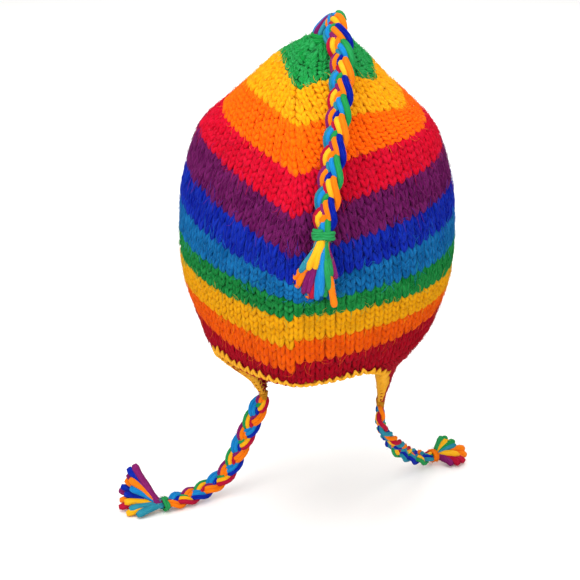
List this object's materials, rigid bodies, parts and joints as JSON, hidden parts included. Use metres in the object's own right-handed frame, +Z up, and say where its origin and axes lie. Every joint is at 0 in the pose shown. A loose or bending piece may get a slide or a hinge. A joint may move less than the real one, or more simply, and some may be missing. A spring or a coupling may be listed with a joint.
{
  "type": "earflap hat",
  "caption": "Hand-knitted wool hat with a pointed crown in rainbow stripes, a pair of earflaps, plaited tie cords and a plait with a tassel hanging from the tip.",
  "frame": {"origin": "where the top of the wearer's head rests inside the crown, below the hat's pointed tip", "axes": "+Z up, -Y towards the wearer's face, +Y towards the back of the head, +X towards the wearer's left"},
  "size_m": [0.2527, 0.2587, 0.404],
  "materials": {
    "wool_red": "stocking stitch in thick single wool, seven colours in horizontal stripes, slightly fuzzy",
    "wool_dark_red": "stocking stitch in thick dark red wool",
    "trim_yellow": "mustard yellow wool overcast along the edge",
    "braid_blue": "three-strand plait of mixed coloured wool yarns",
    "wrap_green": "green wool yarn wound tight round the end of a plait",
    "tassel_orange": "loose cut ends of mixed coloured wool yarns"
  },
  "bodies": {
    "root": {"crown": "wool_red", "earflap_left": "wool_dark_red", "earflap_right": "wool_dark_red", "edge_trim": "trim_yellow", "top_braid": "braid_blue", "top_braid_wrap": "wrap_green", "top_tassel": "tassel_orange", "tie_left": "braid_blue", "tie_left_wrap": "wrap_green", "tie_left_tassel": "tassel_orange", "tie_right": "braid_blue", "tie_right_wrap": "wrap_green", "tie_right_tassel": "tassel_orange"}
  },
  "joints": []
}
